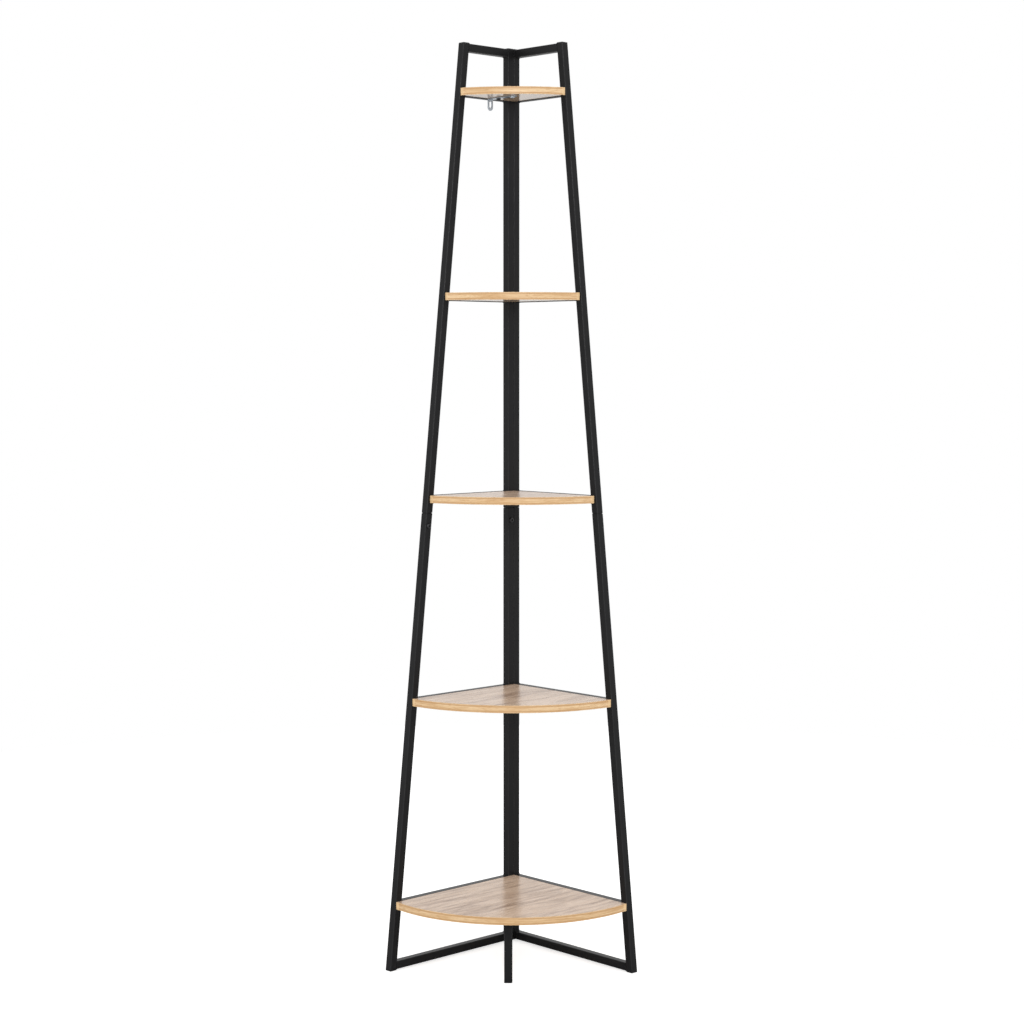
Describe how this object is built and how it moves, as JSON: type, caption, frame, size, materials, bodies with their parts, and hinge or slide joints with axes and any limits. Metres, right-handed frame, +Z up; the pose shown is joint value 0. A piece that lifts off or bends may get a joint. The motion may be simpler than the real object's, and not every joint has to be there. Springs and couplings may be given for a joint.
{
  "type": "corner shelf unit",
  "caption": "Tall corner shelf unit of black square steel tube, with five corner boards that have curved fronts and grow smaller upwards, leaning front legs and a short front leg.",
  "frame": {"origin": "on the floor, under the middle of the unit's bounding box", "axes": "+Z up, -Y towards the open front, +X to the right as seen from the front; the two side frames run from the back corner at 45 degrees to either side of -Y"},
  "size_m": [0.471, 0.3416, 1.735],
  "materials": {
    "black_steel": "satin black powder coat",
    "oak_board": "smooth half-gloss oak-look laminate, with a golden edge band along the curved front",
    "black_plastic": "moulded black plastic",
    "plain_steel": "plain drawn steel",
    "black_fastener": "blackened steel, half gloss",
    "zinc_plate": "bright zinc-plated sheet steel"
  },
  "bodies": {
    "root": {"left_lower_leg_tube": "black_steel", "left_upper_leg_tube": "black_steel", "left_lower_back_tube": "black_steel", "left_upper_back_tube": "black_steel", "left_bottom_rail": "black_steel", "left_top_rail": "black_steel", "left_shelf_rail_1": "black_steel", "left_shelf_rail_2": "black_steel", "left_shelf_rail_3": "black_steel", "left_shelf_rail_4": "black_steel", "left_shelf_rail_5": "black_steel", "right_lower_leg_tube": "black_steel", "right_upper_leg_tube": "black_steel", "right_lower_back_tube": "black_steel", "right_upper_back_tube": "black_steel", "right_bottom_rail": "black_steel", "right_top_rail": "black_steel", "right_shelf_rail_1": "black_steel", "right_shelf_rail_2": "black_steel", "right_shelf_rail_3": "black_steel", "right_shelf_rail_4": "black_steel", "right_shelf_rail_5": "black_steel", "front_leg": "black_steel", "shelf_board_1": "oak_board", "shelf_board_2": "oak_board", "shelf_board_3": "oak_board", "shelf_board_4": "oak_board", "shelf_board_5": "oak_board", "left_leg_foot": "black_plastic", "left_leg_cap": "black_plastic", "left_back_foot": "black_plastic", "left_back_cap": "black_plastic", "right_leg_foot": "black_plastic", "right_leg_cap": "black_plastic", "right_back_foot": "black_plastic", "right_back_cap": "black_plastic", "front_leg_foot": "black_plastic", "left_leg_sleeve": "black_steel", "left_back_sleeve": "black_steel", "right_leg_sleeve": "black_steel", "right_back_sleeve": "black_steel", "front_leg_stud": "plain_steel", "left_leg_sleeve_bolt": "black_fastener", "left_back_sleeve_bolt": "black_fastener", "right_leg_sleeve_bolt": "black_fastener", "right_back_sleeve_bolt": "black_fastener", "post_bolt_lower": "black_fastener", "post_bolt_upper": "black_fastener", "left_shelf_screw_1": "black_fastener", "left_shelf_screw_2": "black_fastener", "left_shelf_screw_3": "black_fastener", "left_shelf_screw_4": "black_fastener", "left_shelf_screw_5": "black_fastener", "right_shelf_screw_1": "black_fastener", "right_shelf_screw_2": "black_fastener", "right_shelf_screw_3": "black_fastener", "right_shelf_screw_4": "black_fastener", "right_shelf_screw_5": "black_fastener", "wall_strap_screw": "black_fastener", "wall_strap": "zinc_plate"}
  },
  "joints": []
}
